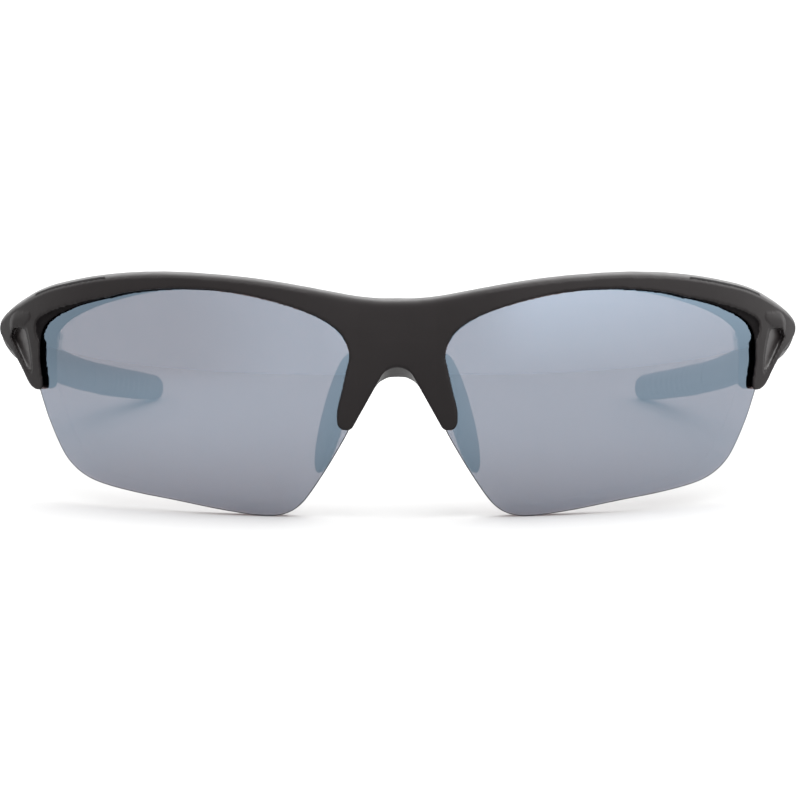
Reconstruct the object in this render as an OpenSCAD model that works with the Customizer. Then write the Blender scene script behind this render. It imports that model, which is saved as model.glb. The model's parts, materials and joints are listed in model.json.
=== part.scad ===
// Wraparound sport sunglasses: a half-rim front, two spherical lenses and two folding temples.
// They stand open on a table: +Z up, the front faces -Y, the wearer's left side is +X.
// The origin is on the table, under the middle of the overall box.

/* [Front] */
// Overall width across the two end pieces
front_w = 141; // [136:1:146]
// Overall depth, from the bridge to the temple tips
overall_d = 150; // [146:1:154]
// Radius of the front surface of the frame
frame_r = 67.5; // [66:0.5:70]
// Depth of the brow bar, measured along the radius
frame_t = 4.6; // [4.4:0.1:5.4]
// Distance of each lens sphere's centre from the middle plane
sphere_x = 13; // [12:0.5:14]
// Height of both sphere centres above the table
sphere_z = 20.5; // [19:0.5:22]

/* [Lenses] */
// How far the lens surface lies behind the frame surface
lens_inset = 0.9; // [0.8:0.1:1.2]
// Lens thickness
lens_t = 2.2; // [1.8:0.1:2.3]
// Clearance of the lens in its groove
lens_gap = 0.04; // [0.02:0.01:0.08]

/* [Temples] */
// Half the thickness of a temple in its slender middle
temple_half_t = 1.8; // [1.6:0.1:2]
// Half the height of a temple in its slender middle
temple_half_h = 3.2; // [3:0.1:3.4]
// Share of the temple's length at which the rubber grip starts
grip_start = 0.62; // [0.55:0.01:0.7]
// Wall of the rubber grip
grip_wall = 0.9; // [0.7:0.1:1]

/* [Hinges] */
// Lean of the hinge axis from the vertical, top to the rear
hinge_lean = 10; // [8:1:11]
// Radius of the hinge barrels
barrel_r = 1.7; // [1.6:0.05:1.8]
// Height of the three barrels together
barrel_h = 6.6; // [6:0.2:6.8]
// Radius of the hinge screw
screw_r = 0.7; // [0.6:0.05:0.8]
// Running clearance of the screw in the temple's barrel
screw_gap = 0.05; // [0.02:0.01:0.08]
// Gap between the end piece and the temple when open
butt_gap = 0.3; // [0.2:0.05:0.4]

/* [Nose pads] */
// Half the length of a pad
pad_half_l = 10.3; // [9:0.1:10.5]
// Half the width of a pad, front to back
pad_half_w = 4; // [3.5:0.1:4.2]
// Half the thickness of a pad
pad_half_t = 1.45; // [1.3:0.05:1.6]
// Turn of a pad away from the middle plane
pad_splay = 22; // [18:1:24]

/* [Hidden] */
$fn = 64;
eps = 0.02;
tip_from = 0.965; // share of a temple's length at which its end starts to round off
k_w = front_w / 141;
front_y = -overall_d / 2;
centre_y = front_y + frame_r;
lens_r = frame_r - lens_inset;
ledge_t = 0.45;
pad_mid = [10.75, front_y + 9.6, 17];
stem_mid = [8.3, front_y + 6.8, 21.2];
stem_size = [1.6, 6, 2.6];
// The nose arch: flare of its legs, height at which its half width is given, then top and half width
arch_flare = 29;
arch_mid = 20.2;
arch_front = [26.9, 5.2];
arch_rear = [22.7, 4.6];
hinge_at = [62.4 * k_w, front_y + 38.5, 27.3];
leaf_t = 1;
leaf_l = 6.6;
leaf_h = 5.6;
rivet_r = 0.55;
rivet_head_r = 1;
rivet_head_h = 0.35;
rivet_l = 2.4;
knuckle_gap = 0.05;
third = barrel_h / 6; // half the height of one of the three barrels
rivet_y = [3.6, 6.4];
screw_head_r = 1.3;
screw_head_h = 0.6;
slot_w = 0.3;
far = 20; // more than any part reaches from the hinge's middle, sideways
hole_h = 16;
relief_r = barrel_r + 0.4;
ring_n = 20;

// ---- curves ----
function bezier(p, t) = pow(1 - t, 3) * p[0] + 3 * t * pow(1 - t, 2) * p[1]
    + 3 * t * t * (1 - t) * p[2] + pow(t, 3) * p[3];
function bezier_slope(p, t) = 3 * pow(1 - t, 2) * (p[1] - p[0]) + 6 * t * (1 - t) * (p[2] - p[1])
    + 3 * t * t * (p[3] - p[2]);
// A Catmull-Rom curve through open points, with m steps between neighbours
function at(p, i) = p[max(0, min(len(p) - 1, i))];
function through(p, m = 3) = concat(
    [for (i = [0 : len(p) - 2], j = [0 : m - 1]) let (t = j / m, a = at(p, i - 1), b = p[i],
        c = p[i + 1], d = at(p, i + 2))
        0.5 * (2 * b + (c - a) * t + (2 * a - 5 * b + 4 * c - d) * t * t
            + (3 * b - a - 3 * c + d) * pow(t, 3))],
    [p[len(p) - 1]]);
function mirrored(p) = [for (i = [len(p) - 1 : -1 : 0]) [-p[i][0], p[i][1]]];
function widened(p) = [for (q = p) [q[0] * k_w, q[1]]];

// ---- outlines in x and z, seen from the front, for the wearer's left side ----
// Top edge of the brow from the middle to the end piece
BROW_TOP = [[2.2, 37.1], [6.5, 37.5], [13, 38.7], [19.5, 39.8], [26, 40.6], [33, 41], [40, 41],
    [46, 40.5], [52, 39.5], [58, 37.9], [61, 36.8], [63.4, 35.6], [65.5, 34.2], [67.5, 32.8], [69.3, 31.2],
    [70.3, 29.8]];
// Underside of the wing-shaped end, down to the hook that holds the lens
HOOK = [[70.5, 28.6], [69.5, 27], [67.4, 25], [65.8, 22.8], [64.7, 20.9], [63.9, 19.8], [62.8, 19.3],
    [61.9, 19.4]];
// Upper edge of the lens opening, from the hook to the bridge
OPENING = [[61.5, 20.1], [61.6, 21.2], [61.9, 22.6], [62.1, 25], [62, 28], [61.3, 30.3], [59.4, 32.2],
    [56.6, 33.8], [53.3, 35.2], [50.2, 36.2], [46, 37.5], [39, 38.5], [32, 38.6], [26, 38], [20, 36.7],
    [15, 35.1], [11.6, 33.4], [9.4, 31.5], [8.3, 29.4], [8, 27.6]];
// Front edge of the step at the opening's outer upper corner
STEP = [[62.1, 27.5], [62.9, 29], [63.1, 30.5], [62.6, 31.6], [61.3, 32.6], [59.4, 33.6], [56.8, 34.6],
    [53.6, 35.6], [50, 36.5]];
// The three-cornered recess in the wing, and its section in plan
RECESS = [[67.4, 29.3], [64.6, 29.9], [63.7, 29.4], [63.6, 22.3], [64.1, 21.9], [67.8, 27.6]];
RECESS_PLAN = [[61.5, 12], [63, 22], [67.7, 30.9], [68.2, 30.9], [68.4, 12]];
// Outer edge and tip of the prong that carries the nose pad
PRONG = [[8.5, 25.6], [9.3, 22], [10, 19.2], [10.2, 17.2], [9.8, 15.8], [8.7, 15.3], [7.6, 15.6]];
// The lens's hidden edge in the groove, from the prong to the hook
LENS_TOP = [[7.6, 17.4], [7.7, 20], [7.4, 23.5], [7, 27], [7.4, 29.8], [8.8, 32.3], [11, 34.2],
    [14.6, 36], [19.7, 37.6], [25.8, 38.9], [32, 39.5], [39, 39.4], [47.2, 38.4], [54, 37],
    [57.8, 35.7], [60.9, 33.7], [62.8, 31], [63.2, 28], [63.1, 24], [62.6, 20]];
// The lens's open edge, from the hook round the bottom to the prong
LENS_LOW = [[60.8, 14.6], [58.2, 8.9], [56.2, 6.4], [53.6, 4.7], [50, 3.7], [44, 2.8], [38, 2.1],
    [31, 1], [25, 0.2], [21.5, 0], [18.8, 0.5], [16.8, 1.7], [15, 3.8], [11.9, 8.6], [9.4, 12.9],
    [7.9, 15.6]];
// Inner edge of the lip behind the lens, from the bridge to the hook
LIP = [[8.7, 29.6], [9.8, 31.3], [11.9, 33], [15.2, 34.7], [20.1, 36.3], [26, 37.6], [32, 38.1], [38.5, 37.9],
    [44, 36.9], [50, 35], [54, 33.2], [56.8, 31.4], [58.4, 29.8], [59.3, 28], [59.3, 24], [59.3, 20.7],
    [59.7, 19.6], [60.7, 19.1], [62, 19.1]];
// Where the lip's outer side is buried in the rim
LIP_ROOT = [[63, 19.6], [64, 33], [50, 39], [30, 40], [12, 37], [7, 32]];

function half_frame() = concat(through(widened(BROW_TOP)), through(widened(HOOK)),
    through(widened(OPENING)), through(widened(PRONG)));
function lens_outline() = widened(concat(through(LENS_TOP), through(LENS_LOW)));

// ---- shared shapes ----
// Carries a drawing of the x-z plane through the part, from y0 to y1
module along_y(y0, y1) {
    translate([0, y1, 0]) rotate([90, 0, 0]) linear_extrude(y1 - y0) children();
}
module on_side(side) {
    mirror([side < 0 ? 1 : 0, 0, 0]) children();
}
module ball(r) {
    translate([sphere_x * k_w, centre_y, sphere_z]) sphere(r, $fn = 128);
}
// One lens, grown by gap on both faces
module lens_shape(gap = 0) {
    intersection() {
        difference() {
            ball(lens_r + gap);
            ball(lens_r - lens_t - gap);
        }
        along_y(front_y - 2, front_y + 30) polygon(lens_outline());
    }
}
// A closed tube through rings of points that turn right-handed about the way it runs
module loft(rings) {
    n = len(rings[0]);
    m = len(rings);
    polyhedron(
        points = [for (r = rings, p = r) p],
        faces = concat(
            [[for (i = [0 : n - 1]) i]],
            [for (j = [0 : m - 2], i = [0 : n - 1], h = [0, 1]) let (k = (i + 1) % n)
                h == 0 ? [j * n + i, (j + 1) * n + k, j * n + k]
                       : [j * n + i, (j + 1) * n + i, (j + 1) * n + k]],
            [[for (i = [n - 1 : -1 : 0]) (m - 1) * n + i]]));
}
// A point of a rounded rectangle with half sizes a and b, at angle u; a power of 1 gives an ellipse
function rounded(a, b, u, power = 0.82) = [a * sign(cos(u)) * pow(abs(cos(u)), power),
    b * sign(sin(u)) * pow(abs(sin(u)), power)];
// An upright ring about c, square to the plan direction d
function upright_ring(c, d, a, b) = [for (i = [0 : ring_n - 1])
    let (q = rounded(a, b, -i * 360 / ring_n), l = norm([d[0], d[1]]))
    [c[0] + q[0] * d[1] / l, c[1] - q[0] * d[0] / l, c[2] + q[1]]];

// ---- temple ----
TEMPLE = [[66.1 * k_w, front_y + 35, 28.5], [67.7 * k_w, front_y + 75, 16.1],
    [63.5 * k_w, front_y + 112, 9.2], [50.4 * k_w, front_y + overall_d, 2.1]];
// Half thickness and half height along the temple
function half_t(t) = lookup(t, [[0, 4.3], [0.1, 4.1], [0.22, 2.6], [0.36, temple_half_t + 0.2],
    [0.5, temple_half_t], [0.62, temple_half_t], [1, temple_half_t + 0.3]]);
function half_h(t) = lookup(t, [[0, 4], [0.12, 3.8], [0.35, temple_half_h + 0.15],
    [0.6, temple_half_h], [0.95, temple_half_h - 0.45], [1, temple_half_h - 0.5]]);
function tip_round(t) = t <= tip_from ? 1 : sqrt(max(0.02, 1 - pow((t - tip_from) / (1 - tip_from), 2)));
// Rings of the temple from t0 to t1, taken in by less; they crowd together towards a rounded end
function temple_rings(t0, t1, less, steps, round_end = false) = [for (i = [0 : steps])
    let (t = t0 + (t1 - t0) * (round_end ? sin(90 * i / steps) : i / steps), k = round_end ? tip_round(t) : 1)
    upright_ring(bezier(TEMPLE, t), bezier_slope(TEMPLE, t), (half_t(t) - less) * k, (half_h(t) - less) * k)];

// Works in the hinge's own frame: z along its axis, y towards the temple
module at_hinge() {
    translate(hinge_at) rotate([-hinge_lean, 0, 0]) children();
}
module barrels(from, to, r) {
    translate([0, 0, from]) cylinder(r = r, h = to - from);
}
module rivet_places() {
    for (dy = rivet_y) translate([-barrel_r, dy, 0]) rotate([0, 90, 0]) children();
}
module frame_side() {
    mirror([0, 1, 0]) children();
}
// One plate on the inner face, reaching from the barrel along +y
module leaf_plate(h) {
    translate([-barrel_r, 1.2, -h / 2]) cube([leaf_t, leaf_l, h]);
}
// Room for the barrels and, on the inner side, for the leaves as far as reach along -y
module hinge_room(reach) {
    barrels(-hole_h / 2, hole_h / 2, relief_r);
    translate([-far - barrel_r + leaf_t, -reach, -hole_h / 2]) cube([far, reach + 4, hole_h]);
}
module screw_hole(gap) {
    barrels(-hole_h / 2, hole_h / 2, screw_r + gap);
}
module rivet_holes(gap) {
    rivet_places() translate([0, 0, -1]) cylinder(r = rivet_r + gap, h = rivet_l + 1.1);
}
module rivet() {
    translate([0, 0, -rivet_head_h]) cylinder(r = rivet_head_r, h = rivet_head_h);
    translate([0, 0, -eps]) cylinder(r = rivet_r, h = rivet_l + eps);
}

// ---- the parts, drawn for the wearer's left side and mirrored for the right ----
module lug() {
    // middle in x, y and z, half thickness and half height of each ring
    P = [[61.6, 24.4, 30.4, 1.6, 3.8], [62.8, 26.6, 30, 2.4, 4.2], [64.6, 29.6, 29.3, 3.3, 4.1],
        [66, 34, 28.4, 4.1, 3.95], [66.1, 41, 27, 4.3, 3.95]];
    // the way that each ring faces in plan
    D = [[0.72, 0.69], [0.6, 0.8], [0.36, 0.93], [0.12, 0.99], [0.04, 1]];
    loft([for (i = [0 : len(P) - 1]) upright_ring([P[i][0] * k_w, front_y + P[i][1], P[i][2]],
        D[i], P[i][3], P[i][4])]);
}
module front_shell() {
    intersection() {
        difference() {
            union() {
                for (s = [-1, 1]) on_side(s) ball(frame_r);
                translate([0, centre_y, sphere_z]) rotate([0, 90, 0])
                    cylinder(r = frame_r - 0.3, h = 18, center = true, $fn = 128);
            }
            for (s = [-1, 1]) on_side(s) ball(frame_r - frame_t);
        }
        along_y(front_y - 2, front_y + 36) polygon(concat(half_frame(), mirrored(half_frame())));
    }
}
// The lip behind each lens, which widens towards the hook and stands a little below the brow
module rear_lip() {
    intersection() {
        difference() {
            ball(lens_r - lens_t - 0.02);
            ball(frame_r - frame_t);
        }
        along_y(front_y, front_y + 34) polygon(widened(concat(through(LIP), LIP_ROOT)));
    }
}
// An outline of the nose arch: a round top on two straight legs
module arch_outline(top, half_w) {
    r = (half_w * cos(arch_flare) - (top - arch_mid) * sin(arch_flare)) / (1 - sin(arch_flare));
    shoulder = [r * cos(arch_flare), top - r + r * sin(arch_flare)];
    foot = [shoulder[0] + shoulder[1] * tan(arch_flare), 0];
    translate([0, top - r]) circle(r);
    polygon([shoulder, foot, [-foot[0], 0], [-shoulder[0], shoulder[1]]]);
}
// It is wider and higher at the front than at the rear, so its underside faces forward
module nose_arch() {
    hull() {
        along_y(front_y - 1, front_y - 1 + eps) arch_outline(arch_front[0], arch_front[1]);
        along_y(front_y + 8, front_y + 8 + eps) arch_outline(arch_rear[0], arch_rear[1]);
    }
}
// The step in the front face at the opening's upper corner, which leaves a thin ledge in front of the lens
module opening_step() {
    difference() {
        along_y(front_y - 2, front_y + 34) polygon(widened(concat(through(STEP), [[48, 34], [58, 28]])));
        ball(lens_r + ledge_t);
    }
}
// The three-cornered recess outside the rim: a wedge in plan, whose long inner wall faces outward
module end_recess() {
    intersection() {
        along_y(front_y + 12, front_y + 34)
            polygon(widened(RECESS));
        translate([0, 0, 20]) linear_extrude(12)
            polygon([for (p = RECESS_PLAN) [p[0] * k_w, front_y + p[1]]]);
    }
}
module pad_stem(gap = 0) {
    translate(stem_mid) rotate([0, 0, -25]) cube([for (l = stem_size) l + gap], center = true);
}
module front_frame() {
    color("#3a3637") difference() {
        union() {
            front_shell();
            for (s = [-1, 1]) on_side(s) {
                rear_lip();
                lug();
            }
        }
        nose_arch();
        for (s = [-1, 1]) on_side(s) {
            lens_shape(lens_gap);
            opening_step();
            end_recess();
            pad_stem(2 * lens_gap);
            at_hinge() {
                translate([-far, -butt_gap / 2, -far]) cube(2 * far);
                hinge_room(leaf_l + 1.6);
                frame_side() rivet_holes(lens_gap);
            }
        }
    }
}
module lens() {
    color("#9ca0ac", 0.7) lens_shape();
}

// ---- nose pad: rings from the bottom to the top ----
function pad_ring(z, k, grow) = let (s = sqrt(max(0.01, 1 - pow(z / (pad_half_l * k), 2))))
    [for (i = [0 : 15]) let (q = rounded((pad_half_t * k + grow) * pow(s, 0.7),
        (pad_half_w * k + grow) * s, i * 22.5, 0.9))
        [pad_mid[0] - 0.26 * z + q[0] * cos(pad_splay) + q[1] * sin(pad_splay),
         pad_mid[1] - q[0] * sin(pad_splay) + q[1] * cos(pad_splay), pad_mid[2] + z]];
module pad_body(k, grow = 0) {
    loft([for (i = [-9 : 9]) pad_ring(pad_half_l * k * sin(i * 10), k, grow)]);
}
module nose_pad() {
    color("#242325") difference() {
        pad_body(1);
        pad_body(0.6, 0.02);
        pad_stem(0.04);
    }
}
module pad_insert() {
    color("#4a4a4c") union() {
        pad_body(0.6);
        pad_stem();
    }
}
module frame_hinge() {
    color("silver") at_hinge() difference() {
        union() {
            for (s = [-1, 1]) barrels(s > 0 ? third : -3 * third, s > 0 ? 3 * third : -third, barrel_r);
            frame_side() difference() {
                leaf_plate(leaf_h + 1.6);
                translate([-10, 0, -third - knuckle_gap]) cube([20, relief_r, 2 * (third + knuckle_gap)]);
            }
        }
        screw_hole(eps);
        frame_side() rivet_holes(eps);
    }
}
module temple_hinge() {
    color("silver") at_hinge() difference() {
        union() {
            barrels(-third + knuckle_gap, third - knuckle_gap, barrel_r);
            translate([-barrel_r, 0, -third + knuckle_gap]) cube([leaf_t, 3, 2 * (third - knuckle_gap)]);
            difference() {
                leaf_plate(leaf_h);
                cylinder(r = relief_r + 0.7, h = 20, center = true);
            }
        }
        screw_hole(screw_gap);
        rivet_holes(eps);
    }
}
module hinge_screw() {
    color("gainsboro") at_hinge() difference() {
        union() {
            barrels(-barrel_h / 2 - 0.3, barrel_h / 2 + 0.1, screw_r);
            barrels(barrel_h / 2 + eps, barrel_h / 2 + eps + screw_head_h, screw_head_r);
        }
        translate([-2, -slot_w / 2, barrel_h / 2 + 0.35]) cube([4, slot_w, 1]);
    }
}
module temple_arm() {
    color("#3a3637") difference() {
        union() {
            loft(temple_rings(0, grip_start, 0, 30));
            loft(temple_rings(grip_start - 0.02, 0.955, grip_wall, 20));
        }
        at_hinge() {
            translate([-far, butt_gap / 2 - 2 * far, -far]) cube(2 * far);
            mirror([0, 1, 0]) hinge_room(leaf_l + 3);
            rivet_holes(lens_gap);
        }
    }
}
module temple_grip() {
    color("#2b2a2c") difference() {
        loft(temple_rings(grip_start, 1, 0, 26, true));
        loft(temple_rings(grip_start - 0.03, 0.957, grip_wall - 0.02, 20));
    }
}
module frame_rivets() {
    color("gainsboro") at_hinge() frame_side() rivet_places() rivet();
}
module temple_rivets() {
    color("gainsboro") at_hinge() rivet_places() rivet();
}

front_frame();
on_side(1) lens();  // left_lens
on_side(-1) lens();  // right_lens
on_side(1) nose_pad();  // left_nose_pad
on_side(-1) nose_pad();  // right_nose_pad
on_side(1) pad_insert();  // left_pad_insert
on_side(-1) pad_insert();  // right_pad_insert
on_side(1) frame_hinge();  // left_frame_hinge
on_side(-1) frame_hinge();  // right_frame_hinge
on_side(1) frame_rivets();  // left_frame_rivets
on_side(-1) frame_rivets();  // right_frame_rivets
on_side(1) hinge_screw();  // left_hinge_screw
on_side(-1) hinge_screw();  // right_hinge_screw
on_side(1) temple_arm();  // left_temple_arm
on_side(-1) temple_arm();  // right_temple_arm
on_side(1) temple_grip();  // left_temple_grip
on_side(-1) temple_grip();  // right_temple_grip
on_side(1) temple_hinge();  // left_temple_hinge
on_side(-1) temple_hinge();  // right_temple_hinge
on_side(1) temple_rivets();  // left_temple_rivets
on_side(-1) temple_rivets();  // right_temple_rivets
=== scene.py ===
"""Wraparound sport sunglasses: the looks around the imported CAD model.

Lengths are named in millimetres and become metres where they are used, through MM.
The frame is the CAD's: +Z up, the front faces -Y, and the wearer's left side is +X.
"""

import json
import math

import bmesh
import bpy
import numpy as np
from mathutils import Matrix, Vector, geometry

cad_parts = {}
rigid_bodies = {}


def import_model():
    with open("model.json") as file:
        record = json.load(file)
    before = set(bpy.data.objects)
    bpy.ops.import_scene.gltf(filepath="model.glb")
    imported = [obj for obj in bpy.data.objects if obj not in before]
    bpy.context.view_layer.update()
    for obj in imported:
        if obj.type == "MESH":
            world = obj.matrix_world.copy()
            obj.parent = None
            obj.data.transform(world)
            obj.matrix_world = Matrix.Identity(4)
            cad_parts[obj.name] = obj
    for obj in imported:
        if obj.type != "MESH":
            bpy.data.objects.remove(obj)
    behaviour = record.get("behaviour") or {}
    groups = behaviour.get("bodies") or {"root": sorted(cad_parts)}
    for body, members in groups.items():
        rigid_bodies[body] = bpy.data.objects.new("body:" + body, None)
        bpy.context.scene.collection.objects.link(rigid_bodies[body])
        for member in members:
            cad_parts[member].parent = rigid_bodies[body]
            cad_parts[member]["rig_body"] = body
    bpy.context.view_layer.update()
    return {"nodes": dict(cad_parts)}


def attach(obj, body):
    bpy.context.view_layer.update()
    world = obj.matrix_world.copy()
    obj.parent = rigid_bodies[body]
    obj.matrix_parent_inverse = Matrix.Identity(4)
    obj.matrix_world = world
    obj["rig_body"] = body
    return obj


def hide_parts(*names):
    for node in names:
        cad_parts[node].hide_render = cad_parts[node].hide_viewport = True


MM = 0.001
SIDES = {"left": 1, "right": -1}

# ---- the camera, as the object is seen from a little above its front ----
CAMERA_AT = (1.5, -668.9, 104.1)
CAMERA_DOWN = 8.0
CAMERA_TURN = 0.1
CAMERA_LENS = 160.8
CAMERA_SENSOR = 36.0

# ---- the lenses: two spheres about one centre ----
LENS_CENTRE = (13.0, -7.5, 20.5)
LENS_FRONT_R = 66.6
LENS_REAR_R = 64.4
# How near the front sphere a CAD vertex counts as on it
ON_SPHERE = 0.02
# Steps along the outline, how often its corners are eased, and the grid over a face, which starts inside it
LENS_STEP = 0.45
LENS_EASING = 8
LENS_GRID = 0.9
LENS_GRID_FROM_EDGE = 0.54
# Radius of the edge's corners, and the steps round each
LENS_ROUND = 0.2
LENS_ROUND_STEPS = 5
# The share of red, green and blue that each face of a lens passes, and the share that its front mirrors
SMOKE = (0.418, 0.366, 0.364)
MIRROR_SHARE = 0.245

# ---- the front of the frame: its sphere, and which of its points are brought back onto that: the near ones,
# more and more as they face outward, away from the bridge ----
FRAME_R = 67.5
SNAP_WITHIN = 0.08
SNAP_FACING = (0.9, 0.98)
SNAP_FROM_X = 15

# ---- where its polished recesses, their tone painted lighter as a painted highlight, and the steps beside the lenses, painted dark as painted shade, are: depth below the sphere, across and up ----
RECESS_DEPTH = (0.3, 4)
RECESS_X = (63.6, 68.6)
RECESS_Z = (21.5, 30.2)
RECESS_UP_TO_Y = -43
SHADE_PAINT_DEPTH = (0.2, 0.9)
SHADE_PAINT_X = (50, 63.2)
SHADE_PAINT_ABOVE_Z = 20

# ---- the rubber grips' ribs, and the length over which they fade at both ends ----
RIB_PITCH = 3.2
RIB_HEIGHT = 0.16
RIB_FADE = 5.0

# ---- how far below the brow's top its edge is rounded, how much, and in what steps the top is found ----
TOP_ROUND = 2.5
TOP_PASSES = 40
TOP_STEP = 0.5

# ---- the light: the tent's brightness at table height, its extra overhead, behind and on the right, and the
# share that it lacks on the left; x of a direction is -1 to the left and 1 to the right ----
TENT_LEVEL = 1.46
TENT_TOP = 3.0
TENT_BACK = 3.0
TENT_RIGHT = 1.9
TENT_LEFT = 0.24
RIGHT_FROM, RIGHT_FULL = -0.1, 0.4
LEFT_FROM, LEFT_FULL = -0.1, -0.8
# The table's whiteness, half its size, and how far from the object its white starts to be painted darker on
# the left, as painted shade that follows the tent's dimmer left, in metres
FLOOR_SHADE = 0.42
FLOOR_HALF = 15.0
FLOOR_EASE = 0.3

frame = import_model()
scene = bpy.context.scene


# ---- node helpers ----
def new_material(name, sockets):
    """A Principled material with the given values on its own sockets."""
    mat = bpy.data.materials.new(name)
    mat.use_nodes = True
    shader = mat.node_tree.nodes["Principled BSDF"]
    for socket, value in sockets.items():
        shader.inputs[socket].default_value = value
    return mat, mat.node_tree, shader


def place(nt, stretch=(1, 1, 1)):
    """The point being shaded, in the object's own metres, stretched along its axes."""
    coords = nt.nodes.new("ShaderNodeTexCoord")
    mapping = nt.nodes.new("ShaderNodeMapping")
    mapping.inputs["Scale"].default_value = stretch
    nt.links.new(coords.outputs["Object"], mapping.inputs["Vector"])
    return mapping.outputs["Vector"]


def noise(nt, where, size, detail=2.0, rough=0.5):
    """Noise whose features are about size millimetres across."""
    node = nt.nodes.new("ShaderNodeTexNoise")
    node.inputs["Scale"].default_value = 1 / (size * MM)
    node.inputs["Detail"].default_value = detail
    node.inputs["Roughness"].default_value = rough
    nt.links.new(where, node.inputs["Vector"])
    return node.outputs["Fac"]


def spread(nt, value, low, high):
    """Value, about 0.3 to 0.7 as noise gives it, brought to low to high."""
    node = nt.nodes.new("ShaderNodeMapRange")
    node.inputs["From Min"].default_value = 0.3
    node.inputs["From Max"].default_value = 0.7
    node.inputs["To Min"].default_value = low
    node.inputs["To Max"].default_value = high
    nt.links.new(value, node.inputs["Value"])
    return node.outputs["Result"]


def between(nt, value, first, second):
    """A colour from first to second as value goes from 0.3 to 0.7."""
    ramp = nt.nodes.new("ShaderNodeValToRGB")
    ramp.color_ramp.elements[0].position = 0.3
    ramp.color_ramp.elements[0].color = (*first, 1)
    ramp.color_ramp.elements[1].position = 0.7
    ramp.color_ramp.elements[1].color = (*second, 1)
    nt.links.new(value, ramp.inputs["Fac"])
    return ramp.outputs["Color"]


def reckon(nt, operation, value, other):
    """One sum on a value."""
    node = nt.nodes.new("ShaderNodeMath")
    node.operation = operation
    nt.links.new(value, node.inputs[0])
    if isinstance(other, (int, float)):
        node.inputs[1].default_value = other
    else:
        nt.links.new(other, node.inputs[1])
    return node.outputs[0]


def bump(nt, height, depth, under=None):
    """A bump whose full height is depth millimetres, laid over another one."""
    node = nt.nodes.new("ShaderNodeBump")
    node.inputs["Strength"].default_value = 1.0
    node.inputs["Distance"].default_value = depth * MM
    nt.links.new(height, node.inputs["Height"])
    if under is not None:
        nt.links.new(under, node.inputs["Normal"])
    return node.outputs["Normal"]


# ---- materials ----
def make_nylon():
    """Satin charcoal nylon with a fine spark-eroded mould grain and a faint uneven sheen."""
    mat, nt, shader = new_material("satin_nylon", {"IOR": 1.5, "Specular IOR Level": 0.2,
                                                   "Sheen Weight": 0.05, "Sheen Roughness": 0.3})
    where = place(nt)
    cloud = noise(nt, where, 9)
    nt.links.new(between(nt, cloud, (0.0052, 0.0034, 0.0036), (0.0066, 0.0046, 0.0048)),
                 shader.inputs["Base Color"])
    nt.links.new(spread(nt, noise(nt, where, 2.5, 4), 0.42, 0.5), shader.inputs["Roughness"])
    grain = bump(nt, noise(nt, where, 0.22, 3, 0.6), 0.010)
    nt.links.new(bump(nt, noise(nt, where, 1.6), 0.006, grain), shader.inputs["Normal"])
    return mat


def make_polished_highlight_nylon():
    """The same nylon where the mould is polished: glossier, and its tone painted lighter than the nylon's
    own as a painted highlight in the recesses.
    """
    mat, nt, shader = new_material("polished_painted_highlight_nylon", {"IOR": 1.5, "Specular IOR Level": 0.6})
    where = place(nt)
    # painted highlight: a base about three times lighter than the plain nylon's
    nt.links.new(between(nt, noise(nt, where, 5), (0.014, 0.0115, 0.0115), (0.017, 0.014, 0.014)),
                 shader.inputs["Base Color"])
    nt.links.new(spread(nt, noise(nt, where, 1.2), 0.34, 0.42), shader.inputs["Roughness"])
    nt.links.new(bump(nt, noise(nt, where, 0.8), 0.003), shader.inputs["Normal"])
    return mat


def make_shade_painted_nylon():
    """The same nylon in the steps beside the lenses, painted darker and duller as painted shade for the
    shade that lies in those steps.
    """
    mat, nt, shader = new_material("step_shade_painted_nylon", {"IOR": 1.5, "Specular IOR Level": 0.06})
    where = place(nt)
    nt.links.new(between(nt, noise(nt, where, 2), (0.0022, 0.0016, 0.0018), (0.003, 0.0022, 0.0025)),
                 shader.inputs["Base Color"])
    nt.links.new(spread(nt, noise(nt, where, 0.6), 0.6, 0.7), shader.inputs["Roughness"])
    nt.links.new(bump(nt, noise(nt, where, 0.2), 0.01), shader.inputs["Normal"])
    return mat


def make_rubber(name, dark, light):
    """Soft matt rubber, a little dusty, with a fine even tooth."""
    mat, nt, shader = new_material(name, {"IOR": 1.45, "Specular IOR Level": 0.4, "Sheen Weight": 0.12,
                                          "Sheen Roughness": 0.5})
    where = place(nt)
    nt.links.new(between(nt, noise(nt, where, 5, 3), dark, light), shader.inputs["Base Color"])
    nt.links.new(spread(nt, noise(nt, where, 1.5), 0.62, 0.74), shader.inputs["Roughness"])
    nt.links.new(bump(nt, noise(nt, where, 0.14, 2), 0.010), shader.inputs["Normal"])
    return mat


def make_steel(name, colour, low, high):
    """Metal drawn along the hinge's axis, with fine lines and a few duller patches."""
    mat, nt, shader = new_material(name, {"Metallic": 1.0, "Anisotropic": 0.4})
    lines = noise(nt, place(nt, (1, 1, 0.06)), 0.08, 3)
    patches = noise(nt, place(nt), 1.2)
    darker = tuple(0.8 * c for c in colour)
    nt.links.new(between(nt, patches, darker, colour), shader.inputs["Base Color"])
    nt.links.new(spread(nt, lines, low, high), shader.inputs["Roughness"])
    nt.links.new(bump(nt, lines, 0.002), shader.inputs["Normal"])
    return mat


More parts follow.
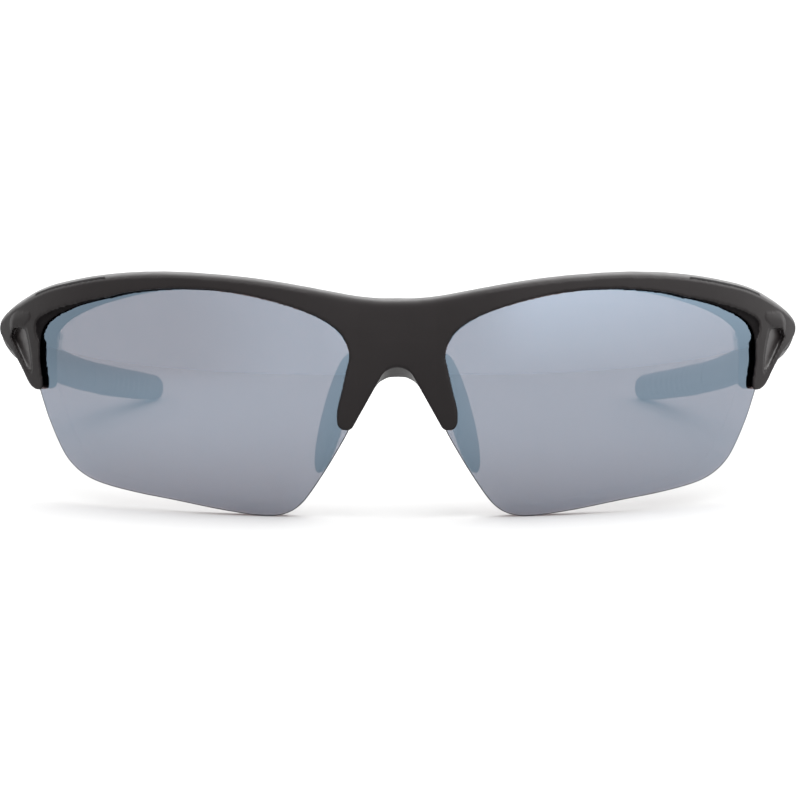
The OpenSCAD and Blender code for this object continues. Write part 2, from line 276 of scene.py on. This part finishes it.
def make_coated_face(name, mirror, share, tint, rough):
    """One face of a lens: a coating that mirrors a share of the light and a tint that passes the rest."""
    mat, nt, shader = new_material(name, {"Metallic": 1.0, "Base Color": (*mirror, 1)})
    where = place(nt)
    nt.links.new(spread(nt, noise(nt, where, 7, 3), rough * 0.8, rough * 1.3), shader.inputs["Roughness"])
    clear = nt.nodes.new("ShaderNodeBsdfTransparent")
    clear.inputs["Color"].default_value = (*tint, 1)
    mix = nt.nodes.new("ShaderNodeMixShader")
    edge_on = nt.nodes.new("ShaderNodeLayerWeight")
    edge_on.inputs["Blend"].default_value = 0.5
    rise = nt.nodes.new("ShaderNodeMapRange")
    rise.inputs["To Min"].default_value = share
    rise.inputs["To Max"].default_value = 1.0
    nt.links.new(reckon(nt, "POWER", edge_on.outputs["Facing"], 5), rise.inputs["Value"])
    nt.links.new(rise.outputs["Result"], mix.inputs["Fac"])
    nt.links.new(clear.outputs["BSDF"], mix.inputs[1])
    nt.links.new(shader.outputs["BSDF"], mix.inputs[2])
    nt.links.new(mix.outputs["Shader"], nt.nodes["Material Output"].inputs["Surface"])
    return mat


def make_lens_edge():
    """The ground edge of a smoke lens, dark because light runs a long way inside it."""
    mat, nt, shader = new_material("lens_edge", {"IOR": 1.58, "Specular IOR Level": 0.5})
    where = place(nt)
    nt.links.new(between(nt, noise(nt, where, 1.5), (0.02, 0.024, 0.03), (0.03, 0.034, 0.042)),
                 shader.inputs["Base Color"])
    nt.links.new(spread(nt, noise(nt, where, 0.5), 0.18, 0.3), shader.inputs["Roughness"])
    nt.links.new(bump(nt, noise(nt, where, 0.12), 0.003), shader.inputs["Normal"])
    return mat


# ---- pieces ----
def shown_mesh(ob):
    """The mesh of an object with its modifiers done."""
    bpy.context.view_layer.update()
    graph = bpy.context.evaluated_depsgraph_get()
    return bpy.data.meshes.new_from_object(ob.evaluated_get(graph), depsgraph=graph)


def moulded(node, name, grid, passes):
    """A copy of a CAD node on a fine even grid, its edges rounded off as a mould or a polish leaves them."""
    mesh = frame["nodes"][node].data.copy()
    bm = bmesh.new()
    bm.from_mesh(mesh)
    bmesh.ops.remove_doubles(bm, verts=bm.verts, dist=1e-7)
    bm.to_mesh(mesh)
    bm.free()
    mesh.materials.clear()
    ob = bpy.data.objects.new(name, mesh)
    scene.collection.objects.link(ob)
    remesh = ob.modifiers.new("even_grid", "REMESH")
    remesh.mode = "VOXEL"
    remesh.voxel_size = grid * MM
    remesh.use_smooth_shade = True
    soften = ob.modifiers.new("soften", "SMOOTH")
    soften.factor = 0.5
    soften.iterations = passes
    done = shown_mesh(ob)
    ob.modifiers.clear()
    ob.data = done
    ob.data.name = name
    return ob


def points_of(ob):
    """The points of a piece's mesh, in metres."""
    co = np.empty(len(ob.data.vertices) * 3)
    ob.data.vertices.foreach_get("co", co)
    return co.reshape(-1, 3)


def set_points(ob, co):
    """Puts a piece's points in new places."""
    ob.data.vertices.foreach_set("co", co.ravel())
    ob.data.update()


def normals_of(ob):
    """The direction that the surface faces at each point."""
    normals = np.empty(len(ob.data.vertices) * 3)
    ob.data.vertices.foreach_get("normal", normals)
    return normals.reshape(-1, 3)


def eased(ob, co, weight, passes):
    """Points moved towards the middle of their neighbours, each by its own weight."""
    pairs = np.empty(len(ob.data.edges) * 2, dtype=np.int32)
    ob.data.edges.foreach_get("vertices", pairs)
    one, other = pairs[0::2], pairs[1::2]
    here, there = np.concatenate([one, other]), np.concatenate([other, one])
    count = np.bincount(here, minlength=len(co))[:, None]
    for _ in range(passes):
        total = np.column_stack([np.bincount(here, co[there, k], len(co)) for k in range(3)])
        co = co + 0.5 * weight[:, None] * (total / count - co)
    return co


def from_centre(points):
    """Each point's direction and distance from the middle of the lens sphere on its own side."""
    side = np.where(points[:, :1] < 0, [[-1, 1, 1]], [[1, 1, 1]])
    out = points - np.array(LENS_CENTRE) * MM * side
    far = np.linalg.norm(out, axis=1)
    return out / far[:, None], far


def finish_front(ob):
    """Rounds off the brow's top edge and makes the front surface a true sphere again."""
    co = points_of(ob)
    across = np.abs(co[:, 0])
    slot = np.round(across / (TOP_STEP * MM)).astype(int)
    top = np.zeros(slot.max() + 1)
    np.maximum.at(top, slot, co[:, 2])
    below = np.interp(across, np.arange(len(top)) * TOP_STEP * MM, top) - co[:, 2]
    weight = np.clip(1 - below / (TOP_ROUND * MM), 0, 1)
    co = eased(ob, co, weight, TOP_PASSES)
    set_points(ob, co)
    out, far = from_centre(co)
    low, high = SNAP_FACING
    faces_out = np.clip(((normals_of(ob) * out).sum(1) - low) / (high - low), 0, 1)
    off = far - FRAME_R * MM
    snap = faces_out * (np.abs(off) < SNAP_WITHIN * MM) * (across > SNAP_FROM_X * MM)
    set_points(ob, co - out * (off * snap)[:, None])


def within(values, span):
    """Which values lie between the two ends of a range."""
    return (values > span[0]) & (values < span[1])


def mark_finish_and_shade_faces(ob):
    """Gives the three-cornered recesses their polished material, with its painted highlight, and paints the
    steps beside the lenses with the painted-shade material.
    """
    centres = np.empty(len(ob.data.polygons) * 3)
    ob.data.polygons.foreach_get("center", centres)
    centres = centres.reshape(-1, 3)
    x, y, z = np.abs(centres[:, 0]) / MM, centres[:, 1] / MM, centres[:, 2] / MM
    _, far = from_centre(centres)
    deep = FRAME_R - far / MM
    # the recesses: real gloss from the polish, plus a painted highlight in their lighter tone
    polished = within(deep, RECESS_DEPTH) & within(x, RECESS_X) & within(z, RECESS_Z)
    polished &= y < RECESS_UP_TO_Y
    # painted shade: the steps beside the lenses get a dark, dull copy of the nylon where shade falls in them
    painted_shade = within(deep, SHADE_PAINT_DEPTH) & within(x, SHADE_PAINT_X) & (z > SHADE_PAINT_ABOVE_Z)
    kinds = np.where(polished, 1, np.where(painted_shade, 2, 0)).astype(np.int32)
    ob.data.polygons.foreach_set("material_index", kinds)
    ob.data.update()


def finish_piece(ob, node, material):
    """Dresses a piece, hides the CAD node it stands for and rides it on that node's body."""
    if not ob.data.materials:
        ob.data.materials.append(material)
    body = frame["nodes"][node]["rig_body"]
    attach(ob, body)
    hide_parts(node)
    return ob


def corners_of_front(node, centre):
    """The outline of a lens's front face in the CAD mesh, in order, as x and z."""
    bm = bmesh.new()
    bm.from_mesh(frame["nodes"][node].data)
    bmesh.ops.remove_doubles(bm, verts=bm.verts, dist=1e-6)
    off_sphere = {v: abs((v.co - centre).length - LENS_FRONT_R * MM) for v in bm.verts}
    on_front = {f for f in bm.faces if all(off_sphere[v] < ON_SPHERE * MM for v in f.verts)}
    rim = [e for e in bm.edges if sum(f in on_front for f in e.link_faces) == 1]
    beside = {}
    for e in rim:
        for v in e.verts:
            beside.setdefault(v, []).append(e.other_vert(v))
    first = here = rim[0].verts[0]
    last, loop = None, []
    while not loop or here is not first:
        loop.append((here.co.x, here.co.z))
        ahead = [v for v in beside[here] if v is not last]
        last, here = here, ahead[0]
    bm.free()
    return np.array(loop)


def even_loop(loop, step, smooth):
    """A closed outline in even steps, anticlockwise, its corners eased over smooth steps."""
    ends = np.roll(loop, -1, axis=0)
    if np.sum(loop[:, 0] * ends[:, 1] - ends[:, 0] * loop[:, 1]) < 0:
        loop = loop[::-1]
    closed = np.vstack([loop, loop[:1]])
    run = np.concatenate([[0], np.cumsum(np.linalg.norm(np.diff(closed, axis=0), axis=1))])
    at = np.linspace(0, run[-1], int(run[-1] / step), endpoint=False)
    even = np.column_stack([np.interp(at, run, closed[:, k]) for k in (0, 1)])
    for _ in range(smooth):
        even = 0.5 * even + 0.25 * (np.roll(even, 1, axis=0) + np.roll(even, -1, axis=0))
    return even


def inset(loop, by):
    """An anticlockwise outline moved inward."""
    along = np.roll(loop, -1, axis=0) - np.roll(loop, 1, axis=0)
    along /= np.linalg.norm(along, axis=1)[:, None]
    return loop + by * np.column_stack([-along[:, 1], along[:, 0]])


def inside(points, loop):
    """Which points lie in an outline."""
    hit = np.zeros(len(points), bool)
    for (x0, z0), (x1, z1) in zip(loop, np.roll(loop, -1, axis=0)):
        spans = (points[:, 1] < z0) != (points[:, 1] < z1)
        with np.errstate(divide="ignore", invalid="ignore"):
            hit ^= spans & (points[:, 0] < x0 + (points[:, 1] - z0) * (x1 - x0) / (z1 - z0))
    return hit


def filled(loop, grid, clear):
    """Points over the inside of an outline, the outline's own first, and the triangles between them."""
    low, high = loop.min(0), loop.max(0)
    rows = np.arange(low[1], high[1], grid * math.sqrt(0.75))
    points = np.array([(x + (i % 2) * grid / 2, z) for i, z in enumerate(rows)
                       for x in np.arange(low[0], high[0], grid)])
    points = points[inside(points, inset(loop, clear))]
    points = np.vstack([loop, points])
    ring = range(len(loop))
    made = geometry.delaunay_2d_cdt([Vector(p) for p in points], [(i, (i + 1) % len(loop)) for i in ring],
                                    [list(ring)], 1, 1e-9)
    back = [origins[0] for origins in made[3]]
    return points, [[back[i] for i in face] for face in made[2]]


def lens_mesh(name, loop, centre):
    """A lens: two spherical faces, joined by an edge whose corners are rounded."""
    def lifted(points, radius):
        d = points - np.array([centre.x, centre.z])
        return centre.y - np.sqrt((radius * MM) ** 2 - (d**2).sum(1))

    round_r = LENS_ROUND * MM
    face_points, triangles = filled(inset(loop, round_r), LENS_GRID * MM, LENS_GRID_FROM_EDGE * MM)
    turns = np.linspace(0, math.pi / 2, LENS_ROUND_STEPS + 1)
    rings = []
    for radius, way in ((LENS_FRONT_R, 1), (LENS_REAR_R, -1)):
        part = []
        for turn in turns[1:]:
            ring = inset(loop, round_r * (1 - math.sin(turn)))
            part.append((ring, lifted(ring, radius) + way * round_r * (1 - math.cos(turn))))
        rings += part if way > 0 else part[::-1]
    n, m = len(loop), len(face_points)
    sheets = [(face_points, lifted(face_points, LENS_FRONT_R)), *rings,
              (face_points, lifted(face_points, LENS_REAR_R))]
    co = np.vstack([np.column_stack([xz[:, 0], y, xz[:, 1]]) for xz, y in sheets])
    starts = [0] + [m + n * i for i in range(len(rings))] + [m + n * len(rings)]
    faces = [list(t) for t in triangles]
    faces += [[starts[-1] + i for i in reversed(t)] for t in triangles]
    for a, b in zip(starts[:-1], starts[1:]):
        faces += [[a + i, b + i, b + (i + 1) % n, a + (i + 1) % n] for i in range(n)]
    mesh = bpy.data.meshes.new(name)
    mesh.from_pydata(co.tolist(), [], faces)
    corner = LENS_ROUND_STEPS * n
    kinds = [0] * len(triangles) + [1] * len(triangles) + [2] * corner
    kinds += [1] * (len(faces) - len(kinds))
    mesh.polygons.foreach_set("material_index", kinds)
    mesh.shade_smooth()
    mesh.update()
    return mesh


def make_lens(side, front, rear, edge):
    """A lens with true spherical faces, on the outline that the CAD gives it."""
    node = f"{side}_lens"
    centre = Vector(LENS_CENTRE) * MM
    centre.x *= SIDES[side]
    loop = even_loop(corners_of_front(node, centre), LENS_STEP * MM, LENS_EASING)
    name = f"{side}_lens_polished"
    ob = bpy.data.objects.new(name, lens_mesh(name, loop, centre))
    scene.collection.objects.link(ob)
    for material in (front, rear, edge):
        ob.data.materials.append(material)
    return finish_piece(ob, node, front)


def middle_line(co, slices=24):
    """The line through the middles of a long piece's slices along Y, and each point's distance along it."""
    y = co[:, 1]
    cuts = np.linspace(y.min(), y.max(), slices + 1)
    middles = np.array([co[(y >= a) & (y <= b)].mean(0) for a, b in zip(cuts[:-1], cuts[1:])])
    steps = np.linalg.norm(np.diff(middles, axis=0), axis=1)
    run = np.concatenate([[0], np.cumsum(steps)])
    along = middles[-1] - middles[0]
    along /= np.linalg.norm(along)
    flat = (middles - middles[0]) @ along
    return np.interp((co - middles[0]) @ along, flat, run)


def make_grip(side, rubber):
    """A rubber sleeve with shallow ribs round it, which fade out before its ends."""
    node = f"{side}_temple_grip"
    ob = moulded(node, f"{side}_ribbed_grip", 0.25, 4)
    co = points_of(ob)
    s = middle_line(co) / MM
    from_end = np.minimum(s - s.min(), s.max() - s)
    fade = np.clip((from_end - RIB_FADE) / RIB_FADE, 0, 1)
    wave = 0.5 - 0.5 * np.cos(2 * np.pi * s / RIB_PITCH)
    set_points(ob, co + normals_of(ob) * (RIB_HEIGHT * MM * wave * fade)[:, None])
    return finish_piece(ob, node, rubber)


# ---- the studio ----
def make_camera():
    """A long lens in front, a little above the object."""
    data = bpy.data.cameras.new("camera")
    data.sensor_width = CAMERA_SENSOR
    data.lens = CAMERA_LENS
    data.clip_start, data.clip_end = 0.02, 60
    camera = bpy.data.objects.new("camera", data)
    camera.location = Vector(CAMERA_AT) * MM
    camera.rotation_euler = (math.radians(90 - CAMERA_DOWN), 0, math.radians(CAMERA_TURN))
    scene.collection.objects.link(camera)
    scene.camera = camera


def dimmed(nt, x):
    """Falls from 1 towards the left, by the share that the tent is dimmer there."""
    fall = nt.nodes.new("ShaderNodeMapRange")
    fall.interpolation_type = "SMOOTHSTEP"
    fall.inputs["From Min"].default_value = LEFT_FULL
    fall.inputs["From Max"].default_value = LEFT_FROM
    fall.inputs["To Min"].default_value = 1 - TENT_LEFT
    nt.links.new(x, fall.inputs["Value"])
    return fall.outputs["Result"]


def make_floor():
    """A wide white table that runs out of the picture on every side, its white painted darker far off to the
    left as painted shade.
    """
    corners = [(x * FLOOR_HALF, y * FLOOR_HALF, 0) for x, y in ((-1, -1), (1, -1), (1, 1), (-1, 1))]
    mesh = bpy.data.meshes.new("floor")
    mesh.from_pydata(corners, [], [(0, 1, 2, 3)])
    floor = bpy.data.objects.new("floor", mesh)
    scene.collection.objects.link(floor)
    mat, nt, shader = new_material("white_table", {"Roughness": 1.0, "Specular IOR Level": 0.0})
    coords = nt.nodes.new("ShaderNodeTexCoord")
    apart = nt.nodes.new("ShaderNodeSeparateXYZ")
    nt.links.new(coords.outputs["Object"], apart.inputs[0])
    far = nt.nodes.new("ShaderNodeVectorMath")
    far.operation = "LENGTH"
    nt.links.new(coords.outputs["Object"], far.inputs[0])
    way = reckon(nt, "DIVIDE", apart.outputs["X"], reckon(nt, "ADD", far.outputs["Value"], FLOOR_EASE))
    # painted shade: the table's white falls on the left by the tent's own dimming share
    nt.links.new(reckon(nt, "MULTIPLY", dimmed(nt, way), FLOOR_SHADE), shader.inputs["Base Color"])
    mesh.materials.append(mat)


def make_light():
    """A white tent round the table, brighter overhead, behind and on the right, and dimmer on the left."""
    world = bpy.data.worlds.new("tent")
    scene.world = world
    world.use_nodes = True
    nt = world.node_tree
    coords = nt.nodes.new("ShaderNodeTexCoord")
    apart = nt.nodes.new("ShaderNodeSeparateXYZ")
    nt.links.new(coords.outputs["Generated"], apart.inputs[0])
    height = reckon(nt, "MAXIMUM", apart.outputs["Z"], 0)
    overhead = reckon(nt, "MULTIPLY", reckon(nt, "POWER", height, 4), TENT_TOP)
    right = nt.nodes.new("ShaderNodeMapRange")
    right.interpolation_type = "SMOOTHSTEP"
    right.inputs["From Min"].default_value = RIGHT_FROM
    right.inputs["From Max"].default_value = RIGHT_FULL
    nt.links.new(apart.outputs["X"], right.inputs["Value"])
    aside = reckon(nt, "MULTIPLY", reckon(nt, "MULTIPLY", right.outputs["Result"], height), TENT_RIGHT)
    behind = reckon(nt, "MULTIPLY", reckon(nt, "MAXIMUM", apart.outputs["Y"], 0), height)
    behind = reckon(nt, "MULTIPLY", behind, TENT_BACK)
    level = reckon(nt, "MULTIPLY", dimmed(nt, apart.outputs["X"]), TENT_LEVEL)
    total = reckon(nt, "ADD", reckon(nt, "ADD", overhead, level), reckon(nt, "ADD", aside, behind))
    nt.links.new(total, nt.nodes["Background"].inputs["Strength"])
    nt.nodes["Background"].inputs["Color"].default_value = (1, 1, 1, 1)
    scene.view_settings.view_transform = "Standard"


# ---- the object ----
make_camera()
make_floor()
make_light()

nylon = make_nylon()
grip_rubber = make_rubber("grip_rubber", (0.012, 0.0115, 0.012), (0.018, 0.017, 0.018))
pad_rubber = make_rubber("pad_rubber", (0.014, 0.0135, 0.014), (0.02, 0.019, 0.02))
insert_plastic = make_nylon()
hinge_steel = make_steel("hinge_steel", (0.5, 0.49, 0.47), 0.24, 0.42)
screw_steel = make_steel("screw_steel", (0.58, 0.57, 0.55), 0.16, 0.3)
mirror = make_coated_face("mirror_flash", (0.57, 0.77, 0.97), MIRROR_SHARE, SMOKE, 0.03)
smoke = make_coated_face("smoke_rear", (0.9, 0.9, 0.9), 0.045, SMOKE, 0.03)
edge = make_lens_edge()

front = moulded("front_frame", "front_frame_moulded", 0.25, 6)
finish_front(front)
# the second material is polished nylon with a painted highlight for the recesses; the third is painted shade
# for the steps beside the lenses
for material in (nylon, make_polished_highlight_nylon(), make_shade_painted_nylon()):
    front.data.materials.append(material)
mark_finish_and_shade_faces(front)
finish_piece(front, "front_frame", nylon)
for side in SIDES:
    make_lens(side, mirror, smoke, edge)
    make_grip(side, grip_rubber)
    for node, grid, passes, material, slot in (
        ("nose_pad", 0.2, 6, pad_rubber, "soft_rubber"),
        ("pad_insert", 0.2, 3, insert_plastic, "insert_nylon"),
        ("temple_arm", 0.3, 6, nylon, "frame_nylon"),
        ("frame_hinge", 0.1, 3, hinge_steel, "hinge_steel"),
        ("temple_hinge", 0.1, 3, hinge_steel, "hinge_steel"),
        ("hinge_screw", 0.06, 2, screw_steel, "fastener_steel"),
        ("frame_rivets", 0.06, 2, screw_steel, "fastener_steel"),
        ("temple_rivets", 0.06, 2, screw_steel, "fastener_steel"),
    ):
        name = f"{side}_{node}"
        finish_piece(moulded(name, f"{name}_made", grid, passes), name, material)
